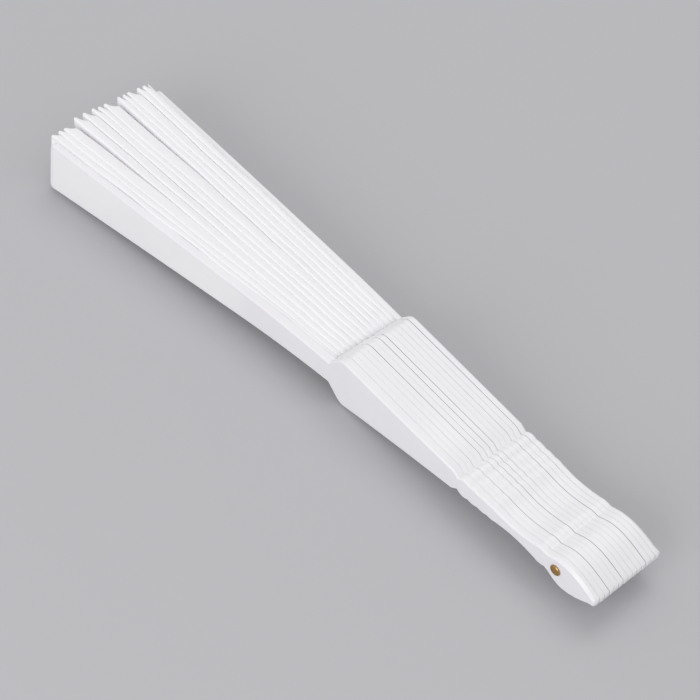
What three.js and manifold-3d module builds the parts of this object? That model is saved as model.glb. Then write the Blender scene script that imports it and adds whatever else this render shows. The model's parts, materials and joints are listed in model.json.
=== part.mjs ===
import * as THREE from "three";
import { mergeVertices } from "three/addons/utils/BufferGeometryUtils.js";
import Module from "manifold-3d";

// A folding hand fan, closed and lying on the edges of its sticks. Sizes are in millimetres.
// X runs from the rivet towards the stick ends, Y along the rivet and Z up.
// The sticks are counted from the near guard (+Y) to the far guard (-Y).

// Stack of sticks on the rivet
const ribCount = 12;
const guardThickness = 2.1;
const ribThickness = 1.665;
const stickGap = 0.06;
const looseGap = 0.2;
const looseAtHead = [3, 6, 11];
const looseAtGrip = [5, 7, 8, 13];

// How the sticks thicken from the neck to the shoulder, which spreads the closed stack
const nearGuardSwell = 0.8;
const ribSwell = 0.12;
const swellStart = 8;
const swellLength = 82;
const swellFullness = 1.7;

// Half outline that every handle shares, from the tail of the head to the shoulder
const headReach = 14.45;
const headTailHalf = 0.5;
const tailLength = 0.45;
const tailRise = 0.75;
const ribTailInset = 0.35;
const guardTailInset = 0.7;
const headHalf = 5.48;
const headTailToWidest = 11.65;
const headDrop = 0.7;
const neckAt = 4;
const neckHalf = 3;
const collarAt = 6.2;
const collarHalf = 3.4;
const waistAt = 17;
const waistHalf = 1.92;
const scallopsAt = 23;
const scallopCount = 4;
const scallopLength = 3.27;
const scallopLengthening = 0.34;
const scallopCrest = 2.85;
const scallopValley = 2.5;
const scallopCrestRise = 0.25;
const scallopValleyRise = 0.2;
const notchLength = 2.1;
const gripRootHalf = 4;
const gripMiddleAt = 62;
const gripMiddleHalf = 6.1;
const shoulderAt = 87;
const shoulderHalf = 9.4;
const shoulderRound = 1.6;
const shoulderStepLength = 5.1;

// Fullness of the outline's curves: where their control points lie, as shares of each curve's run and rise
const headTailFullness = { run: 0.29, rise: 0.31 };
const headCrownFullness = 0.4;
const headCheekFullness = 0.44;
const neckFullness = { run: 0.31, rise: 0.24 };
const waistEntryFullness = { run: 0.3, rise: 0.55 };
const waistFullness = 0.4;
const waistExitFullness = { run: 0.2, rise: 0.17 };
const roundedEdgeFall = 0.1;

// Slanted outer edge of the guards
const headEdgeSlant = 0.9;
const guardEdgeSlant = 0.5;
const edgeSlantHalfShare = 0.4;

// Guard blade over the leaf
const stickEnd = 216;
const bladeRootHalf = 4.17;
const bladeEndHalf = 8.75;
const bladeCornerRound = 1.6;

// Thin slip of a rib behind the leaf
const slipThickness = 0.4;
const slipRootHalf = 1.6;
const slipEndHalf = 1.2;
const slipShortfall = 3;

// Pleated leaf
const leafThickness = 0.15;
const leafRecess = 0.6;
const leafShoulderGap = 0.4;
const leafOverhang = 4.5;
const pleatDegrees = 5.12;
const glueGap = 0.05;
const foldGap = 0.05;
const foldKneeHeightShare = 0.3;
const foldKneeDepthShare = 0.66;

// How the closed stack fans out sideways between the shoulders and the stick ends
const farSpread = 5.6;
const farSpreadFullness = 0.65;
const bowStart = 76;
const bowBlend = 56;
const guardBow = 10.175;
const guardLeanIn = 0.925;
const leafEndSpan = 39.6;
const widePleatDepth = 5.45;
const loosePleatDepth = 3.6;
const widePleats = [3, 8];
const loosePleats = [1, 4, 5, 11];

// Rivet
const shankRadius = 1.25;
const boreClearance = 0.2;
const rivetHeadRadius = 1.75;
const rivetHeadHeight = 0.75;
const rivetHeadRim = 0.2;
const rivetSeat = 0.05;
const peenDepth = 0.4;
const peenGap = 0.1;

// How finely curves are drawn
const curveSteps = 5;
const bowSteps = 6;
const straightSteps = 4;
const roundSteps = 24;
const domeSteps = 5;

const lastStick = ribCount + 1;
const headWidestAt = headTailToWidest - headReach;
const bladeStart = shoulderAt + shoulderStepLength;
const bladeCornerAt = stickEnd - bladeCornerRound;
const leafInner = bladeStart + leafShoulderGap;
const leafOuter = stickEnd + leafOverhang;
const pleatHalfAngle = THREE.MathUtils.degToRad(pleatDegrees / 2);
const boreRadius = shankRadius + boreClearance;

const wasm = await Module();
wasm.setup();

const plastic = new THREE.MeshStandardMaterial({ color: 0xe9e9ec, roughness: 0.45, metalness: 0 });
const cloth = new THREE.MeshStandardMaterial({ color: 0xf2f2f4, roughness: 0.9, metalness: 0 });
const brass = new THREE.MeshStandardMaterial({ color: 0xb98a5e, roughness: 0.35, metalness: 0.9 });

// Share of the swelling that the sticks have reached: none at the head, all at the shoulder.
function swellShare(radius) {
  const left = THREE.MathUtils.clamp(1 - (radius - swellStart) / swellLength, 0, 1);
  return 1 - left ** swellFullness;
}

// Spread of the sticks away from the near guard. It begins at once after the shoulder.
function spreadAt(stick, radius) {
  const past = Math.max(0, radius - shoulderAt) / (stickEnd - shoulderAt);
  return (-farSpread * past ** farSpreadFullness * stick) / lastStick;
}

// Share of the bow that a stick has reached. It begins slowly and is all there at the stick end.
function bowShare(radius) {
  const past = Math.max(0, radius - bowStart);
  const curved = Math.min(past, bowBlend);
  const run = (curved * curved) / (2 * bowBlend) + past - curved;
  return run / (stickEnd - bowStart - bowBlend / 2);
}

// The near guard swells at the grip and thins out again over the leaf.
function thicknessAt(stick, radius) {
  if (stick === 0) return guardThickness + nearGuardSwell * (swellShare(radius) - bowShare(radius));
  if (stick === lastStick) return guardThickness;
  return ribThickness + ribSwell * swellShare(radius);
}

// The sticks lie tight together, except at a few places in the head and others in the grip.
function gapBefore(stick, radius) {
  const swell = swellShare(radius);
  const headShare = looseAtHead.includes(stick) ? 1 - swell : 0;
  const gripShare = looseAtGrip.includes(stick) ? swell : 0;
  return stickGap + looseGap * (headShare + gripShare);
}

// Face of a stick towards the near guard, before the sticks fan out sideways.
function stickFace(stick, radius) {
  let face = 0;
  for (let next = 1; next <= stick; next++) face -= thicknessAt(next - 1, radius) + gapBefore(next, radius);
  return face;
}

// Front of the leaf panel glued to a stick: inside each guard, and let into each rib.
function leafFront(stick, radius) {
  if (stick === 0) return -thicknessAt(0, radius) - glueGap;
  if (stick === lastStick) return stickFace(stick, radius) + glueGap + leafThickness;
  return stickFace(stick, radius) - leafRecess;
}

// Distance at the stick ends between the panel on a stick and the one before it.
function endDepth(pleat) {
  if (widePleats.includes(pleat)) return widePleatDepth;
  if (loosePleats.includes(pleat)) return loosePleatDepth;
  const spread = widePleatDepth * widePleats.length + loosePleatDepth * loosePleats.length;
  const tightPleats = lastStick - widePleats.length - loosePleats.length;
  return (leafEndSpan - spread) / tightPleats;
}

// Sideways bow of each stick at its end, so that the panels lie at those distances.
function stickBows() {
  let front = guardBow + leafFront(0, stickEnd);
  return Array.from({ length: lastStick + 1 }, (_, stick) => {
    if (stick > 0) front -= endDepth(stick);
    return front - leafFront(stick, stickEnd) - spreadAt(stick, stickEnd);
  });
}

const bows = stickBows();

// Sideways shift of a stick and its leaf. It depends only on the distance from the rivet axis,
// so the sticks keep clear of each other however they are turned.
function sideShift(stick, radius) {
  return spreadAt(stick, radius) + bows[stick] * bowShare(radius);
}

// The near guard and the leaf on it lean in towards the other sticks at their upper edge.
function leanIn(stick, radius, z) {
  return stick === 0 ? (-guardLeanIn * bowShare(radius) * z) / bladeEndHalf : 0;
}

// Joins cross-sections into one closed skin. A section has a front and a back edge, top to bottom.
function loft(sections) {
  const edgePoints = sections[0].front.length;
  const ringSize = 2 * edgePoints;
  const positions = [];
  for (const { front, back } of sections) {
    for (const point of [...front, ...[...back].reverse()]) positions.push(point.x, point.y, point.z);
  }
  const index = [];
  const quad = (a, b, c, d) => index.push(a, b, c, a, c, d);
  for (let section = 0; section < sections.length - 1; section++) {
    const here = section * ringSize;
    const next = here + ringSize;
    for (let point = 0; point < ringSize; point++) {
      const after = (point + 1) % ringSize;
      const onFront = point < edgePoints;
      // Front and back are split along the same diagonals, so that a thin twisted piece keeps its thickness.
      if (onFront) quad(here + point, next + point, next + after, here + after);
      else quad(next + point, next + after, here + after, here + point);
    }
  }
  const end = (sections.length - 1) * ringSize;
  for (let point = 0; point < edgePoints - 1; point++) {
    const opposite = ringSize - 1 - point;
    quad(point, point + 1, opposite - 1, opposite);
    quad(end + opposite, end + opposite - 1, end + point + 1, end + point);
  }
  const geometry = new THREE.BufferGeometry();
  geometry.setAttribute("position", new THREE.Float32BufferAttribute(positions, 3));
  geometry.setIndex(index);
  geometry.computeVertexNormals();
  return geometry;
}

// Half outline of the head: a bulb that narrows to the neck.
function drawHead(path) {
  const { lerp } = THREE.MathUtils;
  const tailHalf = headTailHalf + tailRise;
  path.moveTo(-headReach, headTailHalf);
  path.lineTo(tailLength - headReach, tailHalf);
  path.bezierCurveTo(
    lerp(-headReach, headWidestAt, headTailFullness.run), lerp(tailHalf, headHalf, headTailFullness.rise),
    lerp(headWidestAt, -headReach, headCrownFullness), headHalf,
    headWidestAt, headHalf,
  );
  path.bezierCurveTo(
    lerp(headWidestAt, neckAt, headCheekFullness), headHalf,
    lerp(neckAt, headWidestAt, neckFullness.run), lerp(neckHalf, headHalf, neckFullness.rise),
    neckAt, neckHalf,
  );
}

// Half outline of the raised collar and the long waist after it.
function drawWaist(path) {
  const { lerp } = THREE.MathUtils;
  const collarRun = (collarAt - neckAt) / 2;
  const collarEnd = collarAt + collarRun;
  const collarFoot = (collarHalf + neckHalf) / 2;
  path.quadraticCurveTo(neckAt + collarRun, collarHalf, collarAt, collarHalf);
  path.quadraticCurveTo(collarEnd, collarHalf, collarEnd, collarFoot);
  path.bezierCurveTo(
    lerp(collarEnd, waistAt, waistEntryFullness.run), lerp(collarFoot, waistHalf, waistEntryFullness.rise),
    lerp(waistAt, collarEnd, waistFullness), waistHalf,
    waistAt, waistHalf,
  );
  path.bezierCurveTo(
    lerp(waistAt, scallopsAt, waistFullness), waistHalf,
    lerp(scallopsAt, waistAt, waistExitFullness.run), lerp(scallopValley, waistHalf, waistExitFullness.rise),
    scallopsAt, scallopValley,
  );
}

// Rounded scallops that grow towards the grip, each a curve between two valleys.
function drawScallops(path) {
  let from = scallopsAt;
  for (let scallop = 0; scallop < scallopCount; scallop++) {
    const length = scallopLength + scallop * scallopLengthening;
    const valley = scallopValley + scallop * scallopValleyRise;
    const isLast = scallop === scallopCount - 1;
    const nextValley = isLast ? scallopValley : valley + scallopValleyRise;
    const crest = scallopCrest + scallop * scallopCrestRise;
    const crestPull = 2 * crest - (valley + nextValley) / 2;
    path.quadraticCurveTo(from + length / 2, crestPull, from + length, nextValley);
    from += length;
  }
  return from;
}

// Grip that widens to the rounded shoulder, and the step down to the leaf.
function drawGrip(path, notchAt) {
  path.lineTo(notchAt + notchLength, gripRootHalf);
  const roundStartHalf = shoulderHalf - roundedEdgeFall * shoulderRound;
  path.quadraticCurveTo(gripMiddleAt, gripMiddleHalf, shoulderAt - shoulderRound, roundStartHalf);
  path.quadraticCurveTo(shoulderAt, shoulderHalf, shoulderAt + shoulderRound, shoulderHalf - shoulderRound);
  path.lineTo(bladeStart, bladeRootHalf);
}

// Distances from the rivet where a bowed piece needs a section, closer together where it bends.
function bowStations(from, to) {
  const straightStart = bowStart + bowBlend;
  const spaced = (start, end, steps) =>
    Array.from({ length: steps }, (_, step) => THREE.MathUtils.lerp(start, end, (step + 1) / steps));
  return [...spaced(from, straightStart, bowSteps), ...spaced(straightStart, to, straightSteps)];
}

function drawHandle() {
  const path = new THREE.Path();
  drawHead(path);
  drawWaist(path);
  const notchAt = drawScallops(path);
  drawGrip(path, notchAt);
  return path;
}

// Straight edge of a stick over the leaf, with a point at each bow station.
function drawBlade(path, fromHalf, to, toHalf) {
  for (const x of bowStations(bladeStart, to)) {
    path.lineTo(x, THREE.MathUtils.mapLinear(x, bladeStart, to, fromHalf, toHalf));
  }
}

// The head's middle lies a little under the stick's middle line.
function middleLine(x) {
  return -headDrop * (1 - THREE.MathUtils.smoothstep(x, headWidestAt, neckAt));
}

const isGuard = (stick) => stick === 0 || stick === lastStick;

// How far each face of a stick draws in at its blunt tail.
function tailInset(stick, x) {
  const left = THREE.MathUtils.clamp(1 - (x + headReach) / tailLength, 0, 1);
  return left * (isGuard(stick) ? guardTailInset : ribTailInset);
}

// Size of the slant along the outer edge of a guard, largest round the head.
function edgeSlant(x, half) {
  const share = THREE.MathUtils.smoothstep(x, headWidestAt, neckAt);
  return Math.min(half * edgeSlantHalfShare, THREE.MathUtils.lerp(headEdgeSlant, guardEdgeSlant, share));
}

// One section of a stick: its front and back face. The outer edge of a guard is slanted.
function stickSection(stick, x, half, front, back) {
  const radius = Math.hypot(x, half);
  const inset = tailInset(stick, x);
  const point = (y, rise) => {
    const z = middleLine(x) + rise;
    return new THREE.Vector3(x, y + sideShift(stick, radius) + leanIn(stick, radius, z), z);
  };
  const slant = edgeSlant(x, half);
  const plain = (y) => [point(y, half), point(y, -half)];
  const split = (y) => [point(y, half), point(y, half - slant), point(y, slant - half), point(y, -half)];
  const slanted = (y, edgeY) => [point(edgeY, half), ...split(y).slice(1, 3), point(edgeY, -half)];
  const frontY = front - inset;
  const backY = back + inset;
  if (stick === 0) return { front: slanted(frontY, frontY - slant), back: split(backY) };
  if (stick === lastStick) return { front: split(frontY), back: slanted(backY, backY + slant) };
  return { front: plain(frontY), back: plain(backY) };
}

function handleSections(path, stick) {
  return path.getPoints(curveSteps).map(({ x, y }) => {
    const radius = Math.hypot(x, y);
    const front = stickFace(stick, radius);
    return stickSection(stick, x, y, front, front - thicknessAt(stick, radius));
  });
}

function slipSections(path, stick) {
  return path.getPoints(curveSteps).map(({ x, y }) => {
    const front = leafFront(stick, Math.hypot(x, y)) - leafThickness - glueGap;
    return stickSection(stick, x, y, front, front - slipThickness);
  });
}

function toSolid(geometry) {
  const bare = geometry.clone();
  bare.deleteAttribute("normal");
  bare.deleteAttribute("uv");
  const merged = mergeVertices(bare);
  const vertProperties = merged.attributes.position.array;
  const triVerts = new Uint32Array(merged.index.array);
  return new wasm.Manifold(new wasm.Mesh({ numProp: 3, vertProperties, triVerts }));
}

function toGeometry(solid) {
  const mesh = solid.getMesh();
  const geometry = new THREE.BufferGeometry();
  geometry.setAttribute("position", new THREE.BufferAttribute(mesh.vertProperties, 3));
  geometry.setIndex(new THREE.BufferAttribute(mesh.triVerts, 1));
  geometry.computeVertexNormals();
  return geometry;
}

// Cuts the rivet's bore through a stick.
function boreThrough(geometry) {
  const stackDepth = guardThickness - stickFace(lastStick, 0);
  const bore = new THREE.CylinderGeometry(boreRadius, boreRadius, 4 * stackDepth, roundSteps);
  return toGeometry(toSolid(geometry).subtract(toSolid(bore)));
}

function guardGeometry(stick) {
  const path = drawHandle();
  const cornerHalf = bladeEndHalf - (roundedEdgeFall * bladeCornerRound) / 2;
  drawBlade(path, bladeRootHalf, bladeCornerAt, cornerHalf);
  path.quadraticCurveTo(stickEnd, bladeEndHalf, stickEnd, bladeEndHalf - bladeCornerRound);
  return boreThrough(loft(handleSections(path, stick)));
}

function ribGeometry(stick) {
  const slip = new THREE.Path();
  slip.moveTo(bladeStart, slipRootHalf);
  drawBlade(slip, slipRootHalf, stickEnd - slipShortfall, slipEndHalf);
  return boreThrough(loft([...handleSections(drawHandle(), stick), ...slipSections(slip, stick)]));
}

// Distances from the rivet where a leaf piece has a section: the same ones as the guards' blades.
const leafStations = [leafInner, ...bowStations(leafInner, bladeCornerAt), leafOuter];

// Point of the leaf at a height given as a share of the pleat, from 1 at the top fold to -1.
function leafPoint(stick, radius, share, y) {
  const reach = radius * Math.cos(pleatHalfAngle);
  const z = share * radius * Math.sin(pleatHalfAngle);
  return new THREE.Vector3(reach, y + leanIn(stick, radius, z), z);
}

// Flat half of a pleat, glued to its stick.
function panelGeometry(stick) {
  const sections = leafStations.map((radius) => {
    const front = leafFront(stick, radius) + sideShift(stick, radius);
    const edge = (y) => [1, -1].map((share) => leafPoint(stick, radius, share, y));
    return { front: edge(front), back: edge(front - leafThickness) };
  });
  return loft(sections);
}

// Free half of a pleat: from the top of one glued half, behind its slip, to the foot of the next.
function foldGeometry(pleat) {
  const inset = foldGap + leafThickness / 2;
  const sections = leafStations.map((radius) => {
    const near = leafFront(pleat - 1, radius) + sideShift(pleat - 1, radius);
    const height = radius * Math.sin(pleatHalfAngle);
    const top = near + leanIn(pleat - 1, radius, height) - leafThickness - inset;
    const foot = leafFront(pleat, radius) + sideShift(pleat, radius) + inset;
    const knee = THREE.MathUtils.lerp(top, foot, foldKneeDepthShare);
    const kneeShare = 1 - 2 * foldKneeHeightShare;
    const edge = (side) => [
      leafPoint(pleat, radius, 1, top + side),
      leafPoint(pleat, radius, kneeShare, knee + side),
      leafPoint(pleat, radius, -1, foot + side),
    ];
    return { front: edge(leafThickness / 2), back: edge(-leafThickness / 2) };
  });
  return loft(sections);
}

// Domed rim of a rivet head, from its edge to the axis, away from the sticks along the given way.
function dome(seat, way) {
  return Array.from({ length: domeSteps + 1 }, (_, step) => {
    const angle = (step * Math.PI) / 2 / domeSteps;
    const height = rivetHeadRim + (rivetHeadHeight - rivetHeadRim) * Math.sin(angle);
    const radius = step === domeSteps ? 0 : rivetHeadRadius * Math.cos(angle);
    return new THREE.Vector2(radius, seat + way * height);
  });
}

// Shank with its head against the near guard.
function rivetPinGeometry() {
  const shankEnd = stickFace(lastStick, 0) - guardThickness - rivetSeat - peenDepth;
  const profile = [
    new THREE.Vector2(0, shankEnd),
    new THREE.Vector2(shankRadius, shankEnd),
    new THREE.Vector2(shankRadius, rivetSeat),
    new THREE.Vector2(rivetHeadRadius, rivetSeat),
    ...dome(rivetSeat, 1),
  ];
  return new THREE.LatheGeometry(profile, roundSteps);
}

// Cap that closes the rivet against the far guard.
function rivetCapGeometry() {
  const seat = stickFace(lastStick, 0) - guardThickness - rivetSeat;
  const socketEnd = seat - peenDepth - peenGap;
  const socketRadius = shankRadius + peenGap;
  const profile = [
    new THREE.Vector2(0, socketEnd),
    new THREE.Vector2(socketRadius, socketEnd),
    new THREE.Vector2(socketRadius, seat),
    new THREE.Vector2(rivetHeadRadius, seat),
    ...dome(seat, -1),
  ];
  return new THREE.LatheGeometry(profile.reverse(), roundSteps);
}

function addPiece(group, name, geometry, material) {
  const mesh = new THREE.Mesh(geometry, material);
  mesh.name = name;
  group.add(mesh);
}

const numbered = (name, number) => `${name}_${String(number).padStart(2, "0")}`;

// Everything on the rivet, in the rivet's own frame.
function buildFan() {
  const fan = new THREE.Group();
  addPiece(fan, "guard_near", guardGeometry(0), plastic);
  for (let stick = 1; stick <= ribCount; stick++) {
    addPiece(fan, numbered("rib", stick), ribGeometry(stick), plastic);
  }
  addPiece(fan, "guard_far", guardGeometry(lastStick), plastic);
  addPiece(fan, "rivet_pin", rivetPinGeometry(), brass);
  addPiece(fan, "rivet_cap", rivetCapGeometry(), brass);
  for (let stick = 0; stick <= lastStick; stick++) {
    addPiece(fan, numbered("leaf_panel", stick + 1), panelGeometry(stick), cloth);
  }
  for (let pleat = 1; pleat <= lastStick; pleat++) {
    addPiece(fan, numbered("leaf_fold", pleat), foldGeometry(pleat), cloth);
  }
  return fan;
}

// The part's origin is under the middle of the closed fan, on the surface that it lies on.
const part = new THREE.Group();
const fan = buildFan();
const extent = new THREE.Box3().setFromObject(fan);
const middle = extent.getCenter(new THREE.Vector3());
fan.position.set(-middle.x, -middle.y, -extent.min.z);
part.add(fan);

export default part;
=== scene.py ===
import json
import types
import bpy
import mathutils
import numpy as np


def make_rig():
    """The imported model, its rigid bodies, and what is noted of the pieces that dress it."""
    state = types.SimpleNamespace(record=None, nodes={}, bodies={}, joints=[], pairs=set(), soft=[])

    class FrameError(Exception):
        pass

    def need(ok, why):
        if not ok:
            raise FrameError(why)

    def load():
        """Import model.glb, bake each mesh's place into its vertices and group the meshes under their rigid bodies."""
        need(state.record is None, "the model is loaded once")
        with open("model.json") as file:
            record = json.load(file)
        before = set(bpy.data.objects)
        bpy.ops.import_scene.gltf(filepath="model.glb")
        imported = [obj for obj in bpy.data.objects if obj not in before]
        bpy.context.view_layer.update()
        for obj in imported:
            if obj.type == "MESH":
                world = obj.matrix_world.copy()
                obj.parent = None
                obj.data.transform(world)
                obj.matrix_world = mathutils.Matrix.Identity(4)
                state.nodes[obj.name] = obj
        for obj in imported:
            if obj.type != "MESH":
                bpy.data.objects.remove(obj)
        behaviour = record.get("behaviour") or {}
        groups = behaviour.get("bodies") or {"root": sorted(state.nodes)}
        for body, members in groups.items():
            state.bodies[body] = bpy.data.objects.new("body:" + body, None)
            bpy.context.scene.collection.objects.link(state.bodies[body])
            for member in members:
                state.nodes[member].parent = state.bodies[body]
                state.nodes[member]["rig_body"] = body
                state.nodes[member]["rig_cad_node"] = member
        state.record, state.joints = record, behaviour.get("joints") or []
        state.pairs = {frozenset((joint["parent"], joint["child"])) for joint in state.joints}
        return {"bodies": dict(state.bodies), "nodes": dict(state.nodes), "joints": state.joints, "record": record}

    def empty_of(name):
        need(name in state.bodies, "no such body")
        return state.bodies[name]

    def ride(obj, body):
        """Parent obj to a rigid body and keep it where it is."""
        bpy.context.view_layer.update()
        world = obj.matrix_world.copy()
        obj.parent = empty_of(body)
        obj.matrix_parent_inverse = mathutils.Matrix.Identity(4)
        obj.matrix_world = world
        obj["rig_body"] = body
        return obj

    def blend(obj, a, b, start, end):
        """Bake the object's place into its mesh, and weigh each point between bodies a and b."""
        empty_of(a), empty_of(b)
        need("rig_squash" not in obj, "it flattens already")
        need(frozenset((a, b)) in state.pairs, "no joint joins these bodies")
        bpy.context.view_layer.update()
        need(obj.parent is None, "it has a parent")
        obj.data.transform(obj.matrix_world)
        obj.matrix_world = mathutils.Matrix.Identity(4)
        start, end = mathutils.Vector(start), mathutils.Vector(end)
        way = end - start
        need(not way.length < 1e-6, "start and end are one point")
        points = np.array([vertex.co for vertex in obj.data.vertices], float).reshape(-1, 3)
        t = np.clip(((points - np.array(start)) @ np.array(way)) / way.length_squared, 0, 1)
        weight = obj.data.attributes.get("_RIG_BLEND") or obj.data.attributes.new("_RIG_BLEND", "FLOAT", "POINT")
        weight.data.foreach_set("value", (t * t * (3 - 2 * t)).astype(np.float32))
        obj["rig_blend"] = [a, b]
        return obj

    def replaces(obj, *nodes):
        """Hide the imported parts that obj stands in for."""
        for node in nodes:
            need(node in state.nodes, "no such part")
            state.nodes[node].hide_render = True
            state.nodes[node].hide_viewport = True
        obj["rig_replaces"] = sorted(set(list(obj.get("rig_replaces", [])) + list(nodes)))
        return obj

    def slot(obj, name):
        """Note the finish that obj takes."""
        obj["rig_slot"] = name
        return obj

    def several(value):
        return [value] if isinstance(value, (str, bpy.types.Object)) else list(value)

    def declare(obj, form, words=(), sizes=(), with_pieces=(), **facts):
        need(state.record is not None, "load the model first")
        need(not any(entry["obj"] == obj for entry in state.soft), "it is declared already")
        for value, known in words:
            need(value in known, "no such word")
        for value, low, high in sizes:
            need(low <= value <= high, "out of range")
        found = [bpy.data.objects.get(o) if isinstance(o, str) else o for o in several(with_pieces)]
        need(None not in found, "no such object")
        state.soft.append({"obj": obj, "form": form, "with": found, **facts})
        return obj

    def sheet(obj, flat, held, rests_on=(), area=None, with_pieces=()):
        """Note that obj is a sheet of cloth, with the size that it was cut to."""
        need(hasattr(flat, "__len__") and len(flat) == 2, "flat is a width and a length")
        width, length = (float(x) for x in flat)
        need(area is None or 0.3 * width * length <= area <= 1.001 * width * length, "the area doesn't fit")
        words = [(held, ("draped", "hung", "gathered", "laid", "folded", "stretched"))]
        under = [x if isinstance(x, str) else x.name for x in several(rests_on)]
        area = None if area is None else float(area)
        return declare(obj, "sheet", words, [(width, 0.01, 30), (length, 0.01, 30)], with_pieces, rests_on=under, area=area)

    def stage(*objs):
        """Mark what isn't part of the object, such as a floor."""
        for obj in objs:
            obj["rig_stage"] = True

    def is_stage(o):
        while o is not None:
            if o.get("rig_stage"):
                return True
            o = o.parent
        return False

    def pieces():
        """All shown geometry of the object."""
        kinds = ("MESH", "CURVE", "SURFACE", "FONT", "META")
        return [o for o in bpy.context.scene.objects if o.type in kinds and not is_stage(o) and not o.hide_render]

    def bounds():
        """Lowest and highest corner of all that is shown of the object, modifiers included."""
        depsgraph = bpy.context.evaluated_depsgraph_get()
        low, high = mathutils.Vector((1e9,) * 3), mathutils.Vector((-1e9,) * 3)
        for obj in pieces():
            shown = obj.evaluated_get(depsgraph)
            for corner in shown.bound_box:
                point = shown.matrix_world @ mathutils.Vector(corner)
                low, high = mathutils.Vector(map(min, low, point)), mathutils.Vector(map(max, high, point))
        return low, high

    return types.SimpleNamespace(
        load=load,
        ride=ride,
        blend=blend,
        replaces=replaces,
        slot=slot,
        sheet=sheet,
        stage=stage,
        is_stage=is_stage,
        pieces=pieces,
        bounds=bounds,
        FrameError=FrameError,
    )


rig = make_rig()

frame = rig.load()

import json
import math

import bpy
import numpy as np
from mathutils import Vector, noise

# A closed folding hand fan: moulded white sticks on a brass rivet, with a pleated white cloth leaf.
# All lengths are in metres.
# X runs from the rivet to the stick ends, Y towards the near guard, Z up.
MM = 0.001
cad_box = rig.bounds()

# Camera
CAMERA_PLACE = (-0.281671, 0.261612, 0.420979)
CAMERA_TURN_DEG = (42.5514, -1.9414, -131.5108)
CAMERA_LENS_MM = 97.714
CAMERA_SENSOR_MM = 36.0

# Light and floor
SKY_COLOUR = (1.0, 1.0, 1.0, 1.0)
SKY_STRENGTH = 0.67
KEY_PLACE = (0.30, -0.60, 1.15)
KEY_SIZE = 0.9
KEY_POWER = 3.8
FILL_PLACE = (-0.25, 0.95, 0.45)
FILL_SIZE = 0.8
FILL_POWER = 4.6
FLOOR_COLOUR = (0.50, 0.50, 0.52, 1.0)
FLOOR_SIZE = 6.0
FLOOR_GRAIN = 900.0
FLOOR_GRAIN_DEPTH = 0.05 * MM

# Materials. GRAIN, FLOW, CLOUD, THREADS, SLUBS, CREASES, TARNISH and MARKS are scales per metre.
# White plastic: grain and flow marks, clouded colour, and a painted highlight that makes edges paler where they stand
# out
PLASTIC_DEEP = (0.802, 0.790, 0.822, 1.0)
PLASTIC_PALE = (0.862, 0.852, 0.880, 1.0)
# Colour of the painted highlight on edges that stand out
PLASTIC_EDGE_HIGHLIGHT = (0.885, 0.878, 0.895, 1.0)
PLASTIC_GRAIN = 2600.0
PLASTIC_GRAIN_DEPTH = 0.03 * MM
PLASTIC_FLOW = (60.0, 900.0, 900.0)
PLASTIC_FLOW_DEPTH = 0.05 * MM
PLASTIC_CLOUD = 55.0
PLASTIC_ROUGHNESS = (0.40, 0.62)
# Pointiness at which the painted edge highlight starts, and where it is full
EDGE_HIGHLIGHT_STARTS = 0.5
EDGE_HIGHLIGHT_FULL = 0.62

# White cloth: woven threads with slubs, and creases that run along the stick
CLOTH_DEEP = (0.882, 0.872, 0.900, 1.0)
CLOTH_PALE = (0.916, 0.907, 0.928, 1.0)
CLOTH_THREADS = 900.0
CLOTH_THREAD_WANDER = 1.2
CLOTH_THREAD_DEPTH = 0.05 * MM
CLOTH_SLUBS = (2600.0, 160.0, 1.0)
CLOTH_SLUB_DEPTH = 0.06 * MM
CLOTH_CREASES = (70.0, 420.0, 1.0)
CLOTH_CREASE_DEPTH = 0.35 * MM
CLOTH_ROUGHNESS = (0.72, 0.92)

# Brass: tarnish and turning marks
BRASS_TARNISHED = (0.30, 0.155, 0.05, 1.0)
BRASS_CLEAN = (0.72, 0.46, 0.19, 1.0)
BRASS_TARNISH = 700.0
BRASS_MARKS = (9000.0, 900.0, 2500.0)
BRASS_MARK_DEPTH = 0.02 * MM
BRASS_ROUGHNESS = (0.38, 0.18)

# Sockets of a Mix node that mixes colours, which share their names with others
MIX_SHARE = 0
MIX_FIRST = 6
MIX_SECOND = 7
MIX_RESULT = 2

# Sticks. The ribs swell until the near ones all but touch, as in the photograph. The swell fades
# over RIB_SWELL_SPAN ribs and would be gone at a rib numbered RIB_SWELL_LAST.
STICK_COUNT = 14
WELD_DISTANCE = 0.002 * MM
GUARD_EDGE_ROUND = 0.20 * MM
RIB_EDGE_ROUND = 0.008 * MM
RIB_SWELL = 0.03 * MM
RIB_SWELL_LAST = 12.5
RIB_SWELL_SPAN = 10.0
RIVET_EDGE_ROUND = 0.08 * MM
EDGE_ANGLE_DEG = 32.0
EDGE_SEGMENTS = 3

# Leaf. A crest is a fold at the top, with a near side over the glued half and a far side over
# the free one. A foot is a fold at the bottom. A depth is a share of the width, and the narrow
# one is for feet and for a crest's near side. The first BAND_PLEATS pleats lie flatter.
CLOTH_THICKNESS = 0.15 * MM
LEAF_STATIONS = 60
END_STATIONS = 10
CREST_GAP = 0.155 * MM
CREST_NEAR_SHARE = 0.30
CREST_NEAR_MAX = 0.42 * MM
CREST_FAR_MAX = 3.5 * MM
CREST_FAR_DEPTH = 0.2
CREST_POWER = 0.68
BAND_PLEATS = 3
BAND_FAR_DEPTH = 0.15
FOOT_SHARE = 0.24
FOOT_RADIUS_MAX = 0.5 * MM
NARROW_DEPTH = 0.5
SEAM_MARGIN = 0.3 * MM
SEAM_MIN = 0.03 * MM
SWING_HALF_HEIGHT = 4.1 * MM
SWING_MARGIN = 0.05 * MM
FOLD_KNEE_POWER = 5.5
FOLD_FOOT_POWER = 9.0

# Rows of the leaf's mesh
SEAM_STEPS = 6
PANEL_STEPS = 6
CREST_NEAR_STEPS = 8
CREST_FAR_STEPS = 10
FOLD_STEPS = 14
FOOT_NEAR_STEPS = 6
FOOT_FAR_STEPS = 8
PLACE_DIGITS = 6

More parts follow.
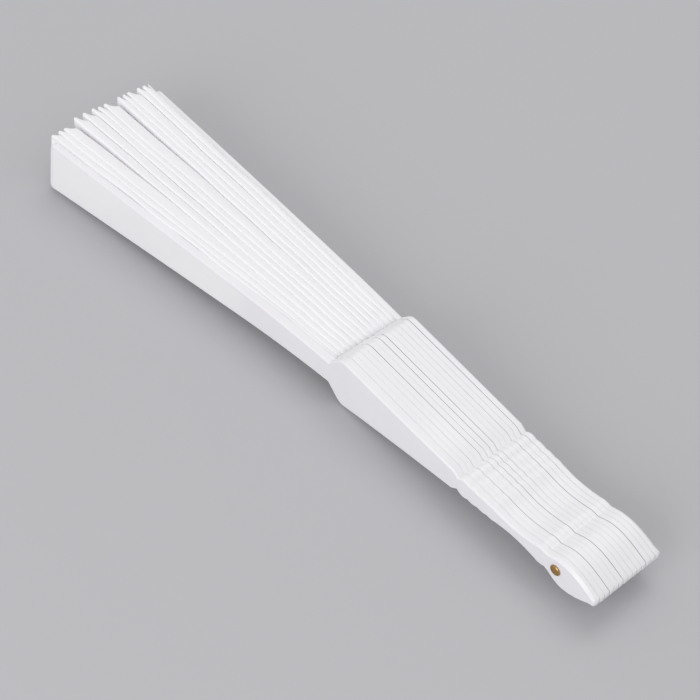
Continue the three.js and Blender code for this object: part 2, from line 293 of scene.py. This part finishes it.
# Unevenness of the leaf. A point moves by up to WAVE_SIDE and WAVE_DROP, less near the root, which
# is the leaf's inner edge. WAVE_ALONG and WAVE_ACROSS are the noise's scales per metre, and
# DROP_WAVES and END_WAVES multiply them for the drop and for the outer edge. END_DROOP deepens
# the crests at the outer edge. END_TRIM moves that edge back, at shares of the way from the near
# side to the far side. ROOT_REACH moves the top and bottom of the root towards the shoulder.
WAVE_SIDE = 0.34 * MM
WAVE_DROP = 0.30 * MM
WAVE_ALONG = 45.0
WAVE_ACROSS = 330.0
WAVE_RAMP = 18.0 * MM
DROP_WAVES = 1.7
END_WAVES = 2.3
END_UNEVENNESS = 0.35 * MM
END_REACH = 4.0 * MM
END_DROOP = 5.6
END_TRIM_AT = (0.0, 0.24, 0.27, 0.46, 0.52, 0.85, 1.0)
END_TRIM = (2.0 * MM, 1.4 * MM, -0.7 * MM, -0.5 * MM, 0.1 * MM, 0.1 * MM, 1.0 * MM)
ROOT_REACH = 0.26 * MM
ROOT_RAMP = 2.0 * MM
ROOT_FROM = 0.83

numbered = "{}_{:02d}".format


# Node graph helpers
def set_values(made, values):
    """Sets a node's inputs by name, and its own settings."""
    for name, value in values.items():
        key = name.replace("_", " ")
        if key in made.inputs:
            made.inputs[key].default_value = value
        else:
            setattr(made, name, value)


def new_material(name):
    """An empty node material: itself, its node tree and its shader."""
    material = bpy.data.materials.new(name)
    material.use_nodes = True
    tree = material.node_tree
    return material, tree, tree.nodes["Principled BSDF"]


def node(tree, kind, links=(), **values):
    """Adds a node, sets its inputs by name and links other nodes' outputs to them."""
    made = tree.nodes.new(kind)
    set_values(made, values)
    for output, name in links:
        tree.links.new(output, made.inputs[name])
    return made


def cloudy(tree, vector, detail, scale=1.0, roughness=0.5):
    """Noise between 0 and 1."""
    links = [(vector, "Vector")]
    made = node(
        tree, "ShaderNodeTexNoise", links, Scale=scale, Detail=detail, Roughness=roughness
    )
    return made.outputs["Fac"]


def remapped(tree, value, limits):
    """A number between two limits, from one between 0 and 1."""
    low, high = limits
    made = node(tree, "ShaderNodeMapRange", [(value, "Value")], To_Min=low, To_Max=high)
    return made.outputs["Result"]


def between_colours(tree, value, first, second):
    """A colour between two, by a number between 0 and 1. The first may be a node's output."""
    made = node(tree, "ShaderNodeMix", data_type="RGBA")
    tree.links.new(value, made.inputs[MIX_SHARE])
    if isinstance(first, tuple):
        made.inputs[MIX_FIRST].default_value = first
    else:
        tree.links.new(first, made.inputs[MIX_FIRST])
    made.inputs[MIX_SECOND].default_value = second
    return made.outputs[MIX_RESULT]


def stretched(tree, vector, scale):
    """Texture coordinates scaled along each axis."""
    made = node(tree, "ShaderNodeMapping", [(vector, "Vector")], Scale=scale)
    return made.outputs["Vector"]


def bumped(tree, height, distance, strength, before=None):
    """A normal bumped by a height between 0 and 1, on top of another one."""
    links = [(height, "Height")]
    if before is not None:
        links.append((before, "Normal"))
    made = node(tree, "ShaderNodeBump", links, Distance=distance, Strength=strength)
    return made.outputs["Normal"]


# Moulded white plastic with a faint grain, flow marks along the stick and a painted highlight on edges that stand out
def plastic_material():
    material, tree, shader = new_material("white_plastic")
    place = node(tree, "ShaderNodeTexCoord").outputs["Object"]
    grain = cloudy(tree, place, detail=3.0, scale=PLASTIC_GRAIN)
    flow = cloudy(tree, stretched(tree, place, PLASTIC_FLOW), detail=4.0, roughness=0.55)
    cloud = cloudy(tree, place, detail=5.0, scale=PLASTIC_CLOUD)
    edge = node(tree, "ShaderNodeNewGeometry").outputs["Pointiness"]
    # Painted highlight: a mask of the edges that stand out, found by pointiness
    edge_highlight = node(
        tree, "ShaderNodeMapRange", [(edge, "Value")], From_Min=EDGE_HIGHLIGHT_STARTS, From_Max=EDGE_HIGHLIGHT_FULL
    )
    tone = between_colours(tree, cloud, PLASTIC_DEEP, PLASTIC_PALE)
    # Painted highlight: the colour turns paler on edges that stand out
    colour = between_colours(tree, edge_highlight.outputs["Result"], tone, PLASTIC_EDGE_HIGHLIGHT)
    fine = bumped(tree, grain, PLASTIC_GRAIN_DEPTH, strength=0.35)
    normal = bumped(tree, flow, PLASTIC_FLOW_DEPTH, strength=0.30, before=fine)
    tree.links.new(colour, shader.inputs["Base Color"])
    tree.links.new(remapped(tree, flow, PLASTIC_ROUGHNESS), shader.inputs["Roughness"])
    tree.links.new(normal, shader.inputs["Normal"])
    set_values(shader, {
        "Specular IOR Level": 0.45,
        "Subsurface Weight": 0.12,
        "Subsurface Radius": (1.0, 0.95, 0.9),
        "Subsurface Scale": 0.8 * MM,
    })
    return material


# Plain-woven white cloth with uneven threads
def cloth_material():
    material, tree, shader = new_material("white_cloth")
    cut = node(tree, "ShaderNodeTexCoord").outputs["UV"]
    weave = node(tree, "ShaderNodeMath", operation="MULTIPLY")
    for factor, way in enumerate("XY"):
        threads = node(
            tree, "ShaderNodeTexWave", [(cut, "Vector")], Scale=CLOTH_THREADS,
            Distortion=CLOTH_THREAD_WANDER, bands_direction=way,
        )
        tree.links.new(threads.outputs["Fac"], weave.inputs[factor])
    slub = cloudy(tree, stretched(tree, cut, CLOTH_SLUBS), detail=3.0)
    crease = cloudy(tree, stretched(tree, cut, CLOTH_CREASES), detail=4.0)
    colour = between_colours(tree, slub, CLOTH_DEEP, CLOTH_PALE)
    woven = bumped(tree, weave.outputs[0], CLOTH_THREAD_DEPTH, strength=0.5)
    slubbed = bumped(tree, slub, CLOTH_SLUB_DEPTH, strength=0.35, before=woven)
    creased = bumped(tree, crease, CLOTH_CREASE_DEPTH, strength=0.35, before=slubbed)
    tree.links.new(colour, shader.inputs["Base Color"])
    tree.links.new(remapped(tree, crease, CLOTH_ROUGHNESS), shader.inputs["Roughness"])
    tree.links.new(creased, shader.inputs["Normal"])
    set_values(shader, {
        "Sheen Weight": 0.15,
        "Sheen Roughness": 0.5,
        "Subsurface Weight": 0.10,
        "Subsurface Radius": (1.0, 1.0, 1.0),
        "Subsurface Scale": 0.06 * MM,
        "Specular IOR Level": 0.25,
    })
    return material


# Brass with turning marks, small scratches and a little tarnish
def brass_material():
    material, tree, shader = new_material("brass")
    place = node(tree, "ShaderNodeTexCoord").outputs["Object"]
    tarnish = cloudy(tree, place, detail=4.0, scale=BRASS_TARNISH)
    scratch = cloudy(tree, stretched(tree, place, BRASS_MARKS), detail=3.0)
    colour = between_colours(tree, tarnish, BRASS_TARNISHED, BRASS_CLEAN)
    normal = bumped(tree, scratch, BRASS_MARK_DEPTH, strength=0.4)
    tree.links.new(colour, shader.inputs["Base Color"])
    tree.links.new(remapped(tree, tarnish, BRASS_ROUGHNESS), shader.inputs["Roughness"])
    tree.links.new(normal, shader.inputs["Normal"])
    set_values(shader, {"Metallic": 1.0})
    return material


# Matt studio floor
def floor_material():
    material, tree, shader = new_material("floor")
    place = node(tree, "ShaderNodeTexCoord").outputs["Object"]
    grain = cloudy(tree, place, detail=2.0, scale=FLOOR_GRAIN)
    normal = bumped(tree, grain, FLOOR_GRAIN_DEPTH, strength=0.1)
    tree.links.new(normal, shader.inputs["Normal"])
    set_values(shader, {
        "Base Color": FLOOR_COLOUR,
        "Roughness": 0.9,
        "Specular IOR Level": 0.1,
    })
    return material


# Finish of the solids that stay: rounded edges and soft shading between their facets
def dress_solid(name, material, edge_round, swell=0.0):
    solid = frame["nodes"][name]
    mesh = solid.data
    if "custom_normal" in mesh.attributes:
        mesh.attributes.remove(mesh.attributes["custom_normal"])
    mesh.shade_smooth()
    weld = solid.modifiers.new("weld", "WELD")
    weld.merge_threshold = WELD_DISTANCE
    if swell:
        grown = solid.modifiers.new("swell", "DISPLACE")
        grown.mid_level = 0.0
        grown.strength = swell
    bevel = solid.modifiers.new("edges", "BEVEL")
    bevel.width = edge_round
    bevel.segments = EDGE_SEGMENTS
    bevel.limit_method = "ANGLE"
    bevel.angle_limit = math.radians(EDGE_ANGLE_DEG)
    bevel.use_clamp_overlap = True
    bevel.harden_normals = True
    mesh.materials.clear()
    mesh.materials.append(material)


def is_guard(stick):
    return stick in (0, STICK_COUNT - 1)


def stick_name(stick):
    if is_guard(stick):
        return "guard_far" if stick else "guard_near"
    return numbered("rib", stick)


# Middle plane of a stick's leaf panel, read from its solid
class PanelLine:
    def __init__(self, stick):
        solid = frame["nodes"][numbered("leaf_panel", stick + 1)]
        points = np.array([vertex.co[:] for vertex in solid.data.vertices])
        along = points[:, 0].round(PLACE_DIGITS)
        self.x = np.unique(along)
        self.top_y, self.top_z = self.edge(points, along, 1)
        self.foot_y, self.foot_z = self.edge(points, along, -1)

    def edge(self, points, along, way):
        """Middle of the edge's two corners, the highest or the lowest ones, at each place."""
        places = []
        for x in self.x:
            ring = points[along == x]
            order = np.argsort(way * ring[:, 2])
            places.append(ring[order[-2:], 1:].mean(axis=0))
        return np.array(places).T

    def side(self, x, share):
        """Sideways place at a share of the height, from 1 at the top to -1 at the foot."""
        top, foot = np.interp(x, self.x, self.top_y), np.interp(x, self.x, self.foot_y)
        return foot + (top - foot) * (share + 1) / 2

    def half_height(self, x):
        return np.interp(x, self.x, (self.top_z - self.foot_z) / 2)

    def middle(self):
        return float((self.top_z[0] + self.foot_z[0]) / 2)


# Places along the stick at which the leaf has its points, and its half height there
lines = [PanelLine(stick) for stick in range(STICK_COUNT)]
LEAF_ROOT = lines[0].x[0]
LEAF_END = lines[0].x[-1]
STATIONS = np.concatenate([
    np.linspace(LEAF_ROOT, LEAF_END - END_REACH, LEAF_STATIONS - END_STATIONS, endpoint=False),
    np.linspace(LEAF_END - END_REACH, LEAF_END, END_STATIONS),
])
AXIS_HEIGHT = lines[0].middle()
NEAR_SIDE = float(lines[0].top_y[-1])
FAR_SIDE = float(lines[-1].top_y[-1])
HALF = lines[0].half_height(STATIONS)


def near_end(x):
    """Grows from 0 to 1 over the last stretch before the leaf's outer edge."""
    return np.clip(1 - (LEAF_END - x) / END_REACH, 0.0, 1.0)


def fold_widths(pleat):
    """Widths of the crest on its near and far side and of the foot, at each station."""
    pitch = lines[pleat - 1].side(STATIONS, 1) - lines[pleat].side(STATIONS, -1)
    room = pitch - CREST_GAP
    near = np.minimum(CREST_NEAR_SHARE * room, CREST_NEAR_MAX)
    far = np.minimum(room - near, CREST_FAR_MAX)
    foot = np.minimum(FOOT_SHARE * pitch, FOOT_RADIUS_MAX)
    return near, far, foot


def seam_drop(width):
    """How far from a fold the glued half ends and the free half begins."""
    deepest = NARROW_DEPTH * width + SEAM_MARGIN
    return np.clip(HALF - SWING_HALF_HEIGHT - SWING_MARGIN, SEAM_MIN, deepest)


def fold_side(drop, width, depth):
    """Distance of a fold's skin from its crest line, at a distance from the fold's end."""
    return width * np.clip(drop / depth, 0.0, 1.0) ** CREST_POWER


def seam_drops(width):
    """Distances from a fold between which the glued half bends, and where it is straight."""
    start, full = seam_drop(width), NARROW_DEPTH * width + SEAM_MARGIN
    shares = np.linspace(0.0, 1.0, SEAM_STEPS, endpoint=False)
    return [start + (full - start) * share for share in shares], full


def glued_rows(stick):
    """Rows of a glued half from its foot to its top, each as (y, z) at every station."""
    line = lines[stick]
    rows = []
    top_rows = []
    foot_full = top_full = np.zeros_like(HALF)
    if stick > 0:
        width = fold_widths(stick)[2]
        drops, foot_full = seam_drops(width)
        for drop in drops:
            side = line.side(STATIONS, drop / HALF - 1) + width
            rows.append((side - fold_side(drop, width, NARROW_DEPTH * width), drop - HALF))
    if stick < STICK_COUNT - 1:
        width = fold_widths(stick + 1)[0]
        drops, top_full = seam_drops(width)
        for drop in drops:
            side = line.side(STATIONS, 1 - drop / HALF) - width
            top_rows.append((side + fold_side(drop, width, NARROW_DEPTH * width), HALF - drop))
    for share in np.linspace(0.0, 1.0, PANEL_STEPS + 1):
        z = (foot_full - HALF) * (1 - share) + (HALF - top_full) * share
        rows.append((line.side(STATIONS, z / HALF), z))
    return rows + top_rows[::-1]


def free_rows(pleat):
    """Rows of a free half: over the crest, down beside the next glued half and round its foot."""
    line, next_line = lines[pleat - 1], lines[pleat]
    near, far, foot = fold_widths(pleat)
    crest = line.side(STATIONS, 1) - near
    beside = next_line.side(STATIONS, -1)
    near_depth, foot_depth = NARROW_DEPTH * near, NARROW_DEPTH * foot
    flat_depth = far * (BAND_FAR_DEPTH if pleat <= BAND_PLEATS else CREST_FAR_DEPTH)
    far_depth = flat_depth * (1 + END_DROOP * near_end(STATIONS) ** 2)
    rows = []
    for share in np.linspace(0.0, 1.0, CREST_NEAR_STEPS, endpoint=False):
        drop = seam_drop(near) * (1 - share) ** 2
        side = line.side(STATIONS, 1 - drop / HALF) - near
        rows.append((side + fold_side(drop, near, near_depth), HALF - drop))
    for share in np.linspace(0.0, 1.0, CREST_FAR_STEPS, endpoint=False):
        drop = far_depth * share**2
        rows.append((crest - fold_side(drop, far, far_depth), HALF - drop))
    start, valley, end = crest - far, beside + CREST_GAP, beside + 2 * foot
    for share in np.linspace(0.0, 1.0, FOLD_STEPS + 1):
        fall = 1 - (1 - share) ** FOLD_KNEE_POWER
        side = start + (valley - start) * fall + (end - valley) * share**FOLD_FOOT_POWER
        rows.append((side, (HALF - far_depth) * (1 - share) + (foot_depth - HALF) * share))
    for share in np.linspace(0.0, 1.0, FOOT_NEAR_STEPS + 1)[1:]:
        drop = foot_depth * (1 - share) ** 2
        rows.append((beside + foot + fold_side(drop, foot, foot_depth), drop - HALF))
    for share in np.linspace(0.0, 1.0, FOOT_FAR_STEPS + 1)[1:]:
        drop = seam_drop(foot) * share**2
        rows.append((beside + foot - fold_side(drop, foot, foot_depth), drop - HALF))
    return rows


def wave(place):
    """Smooth noise between 0 and 1."""
    return 0.5 + 0.5 * noise.noise(place)


def uneven(x, y, z):
    """Moves a point of the leaf a little, as soft cloth lies."""
    from_root = x - LEAF_ROOT
    full_rise = AXIS_HEIGHT * (from_root + WAVE_RAMP) / (LEAF_END - LEAF_ROOT + WAVE_RAMP)
    loose = min(1.0, abs(z) / full_rise) ** 2 * min(1.0, from_root / WAVE_RAMP)
    place = Vector((x * WAVE_ALONG, y * WAVE_ACROSS, math.copysign(1.0, z)))
    side = noise.noise(place) * WAVE_SIDE * loose
    drop = wave(place * DROP_WAVES) * WAVE_DROP * loose
    across = (NEAR_SIDE - y) / (NEAR_SIDE - FAR_SIDE)
    trim = np.interp(across, END_TRIM_AT, END_TRIM)
    back = (wave(place * END_WAVES) * END_UNEVENNESS + trim) * near_end(x)
    near_root = max(0.0, 1 - from_root / ROOT_RAMP)
    outer = np.clip((abs(z) / SWING_HALF_HEIGHT - ROOT_FROM) / (1 - ROOT_FROM), 0.0, 1.0)
    return x - back - ROOT_REACH * near_root * outer, y + side, z - math.copysign(drop, z)


def cloth_piece(name, rows, material):
    """A strip of cloth through the rows, with its UV in metres."""
    row_count = len(rows)
    points = []
    for station, x in enumerate(STATIONS):
        for y, z in rows:
            moved = uneven(x, y[station], z[station])
            points.append((moved[0], moved[1], moved[2] + AXIS_HEIGHT))
    faces = []
    for station in range(LEAF_STATIONS - 1):
        for row in range(row_count - 1):
            corner = station * row_count + row
            faces.append((corner, corner + 1, corner + row_count + 1, corner + row_count))
    mesh = bpy.data.meshes.new(name)
    mesh.from_pydata(points, [], faces)
    lay_flat(mesh, points, row_count)
    mesh.shade_smooth()
    mesh.materials.append(material)
    piece = bpy.data.objects.new(name, mesh)
    bpy.context.collection.objects.link(piece)
    thick = piece.modifiers.new("cloth", "SOLIDIFY")
    thick.thickness = CLOTH_THICKNESS
    thick.offset = 0.0
    return piece


def lay_flat(mesh, points, row_count):
    """Gives each corner its place on the flat cloth: along the stick, and round the fold."""
    layer = mesh.uv_layers.new(name="cut")
    grid = np.array(points).reshape(LEAF_STATIONS, row_count, 3)
    steps = np.linalg.norm(np.diff(grid, axis=1), axis=2)
    round_fold = np.concatenate([np.zeros((LEAF_STATIONS, 1)), np.cumsum(steps, axis=1)], axis=1)
    for loop in mesh.loops:
        station, row = divmod(loop.vertex_index, row_count)
        layer.data[loop.index].uv = (grid[station, row, 0], round_fold[station, row])


def flat_size(piece):
    """Width and length of the strip as cut, and its area."""
    mesh = piece.data
    area = sum(polygon.area for polygon in mesh.polygons)
    layer = mesh.uv_layers["cut"].data
    width = max(corner.uv[1] for corner in layer)
    length = max(corner.uv[0] for corner in layer) - min(corner.uv[0] for corner in layer)
    return (width, length), area


def declare_cloth(piece, held_by):
    size, area = flat_size(piece)
    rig.slot(piece, "leaf")
    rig.sheet(piece, flat=size, held="folded", rests_on=held_by, area=area)


def make_glued_half(stick, material):
    piece = cloth_piece(numbered("cloth_glued", stick + 1), glued_rows(stick), material)
    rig.replaces(piece, numbered("leaf_panel", stick + 1))
    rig.ride(piece, stick_name(stick))
    declare_cloth(piece, [stick_name(stick)])


def make_free_half(pleat, material):
    piece = cloth_piece(numbered("cloth_free", pleat), free_rows(pleat), material)
    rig.replaces(piece, numbered("leaf_fold", pleat))
    start = (0.0, 0.0, AXIS_HEIGHT + SWING_HALF_HEIGHT)
    end = (0.0, 0.0, AXIS_HEIGHT - SWING_HALF_HEIGHT)
    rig.blend(piece, stick_name(pleat - 1), stick_name(pleat), start=start, end=end)
    declare_cloth(piece, [stick_name(pleat - 1), stick_name(pleat)])


def make_camera():
    data = bpy.data.cameras.new("camera")
    data.lens = CAMERA_LENS_MM
    data.sensor_width = CAMERA_SENSOR_MM
    camera = bpy.data.objects.new("camera", data)
    camera.location = CAMERA_PLACE
    camera.rotation_euler = [math.radians(angle) for angle in CAMERA_TURN_DEG]
    bpy.context.collection.objects.link(camera)
    bpy.context.scene.camera = camera


def make_lamp(name, place, size, power):
    data = bpy.data.lights.new(name, "AREA")
    data.shape = "DISK"
    data.size = size
    data.energy = power
    lamp = bpy.data.objects.new(name, data)
    lamp.location = place
    lamp.rotation_euler = Vector(place).to_track_quat("Z", "Y").to_euler()
    bpy.context.collection.objects.link(lamp)


def make_light():
    world = bpy.data.worlds.new("sky")
    world.use_nodes = True
    sky = world.node_tree.nodes["Background"]
    set_values(sky, {"Color": SKY_COLOUR, "Strength": SKY_STRENGTH})
    bpy.context.scene.world = world
    make_lamp("key", KEY_PLACE, KEY_SIZE, KEY_POWER)
    make_lamp("fill", FILL_PLACE, FILL_SIZE, FILL_POWER)
    bpy.context.scene.view_settings.view_transform = "Standard"


def make_floor():
    reach = FLOOR_SIZE / 2
    mesh = bpy.data.meshes.new("floor")
    ways = ((-1, -1), (1, -1), (1, 1), (-1, 1))
    mesh.from_pydata([(x * reach, y * reach, 0.0) for x, y in ways], [], [(0, 1, 2, 3)])
    mesh.materials.append(floor_material())
    floor = bpy.data.objects.new("floor", mesh)
    bpy.context.collection.objects.link(floor)
    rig.stage(floor)


def dress_sticks():
    plastic = plastic_material()
    for stick in range(STICK_COUNT):
        if is_guard(stick):
            dress_solid(stick_name(stick), plastic, GUARD_EDGE_ROUND)
        else:
            fade = min(1.0, (RIB_SWELL_LAST - stick) / RIB_SWELL_SPAN)
            dress_solid(stick_name(stick), plastic, RIB_EDGE_ROUND, RIB_SWELL * fade)
    brass = brass_material()
    for name in ("rivet_pin", "rivet_cap"):
        dress_solid(name, brass, RIVET_EDGE_ROUND)


def make_leaf():
    cloth = cloth_material()
    for stick in range(STICK_COUNT):
        make_glued_half(stick, cloth)
    for pleat in range(1, STICK_COUNT):
        make_free_half(pleat, cloth)


make_camera()
make_light()
make_floor()
dress_sticks()
make_leaf()

shown_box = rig.bounds()
with open("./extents.json", "w") as file:
    json.dump({"cad": [list(c) for c in cad_box], "shown": [list(c) for c in shown_box]}, file)
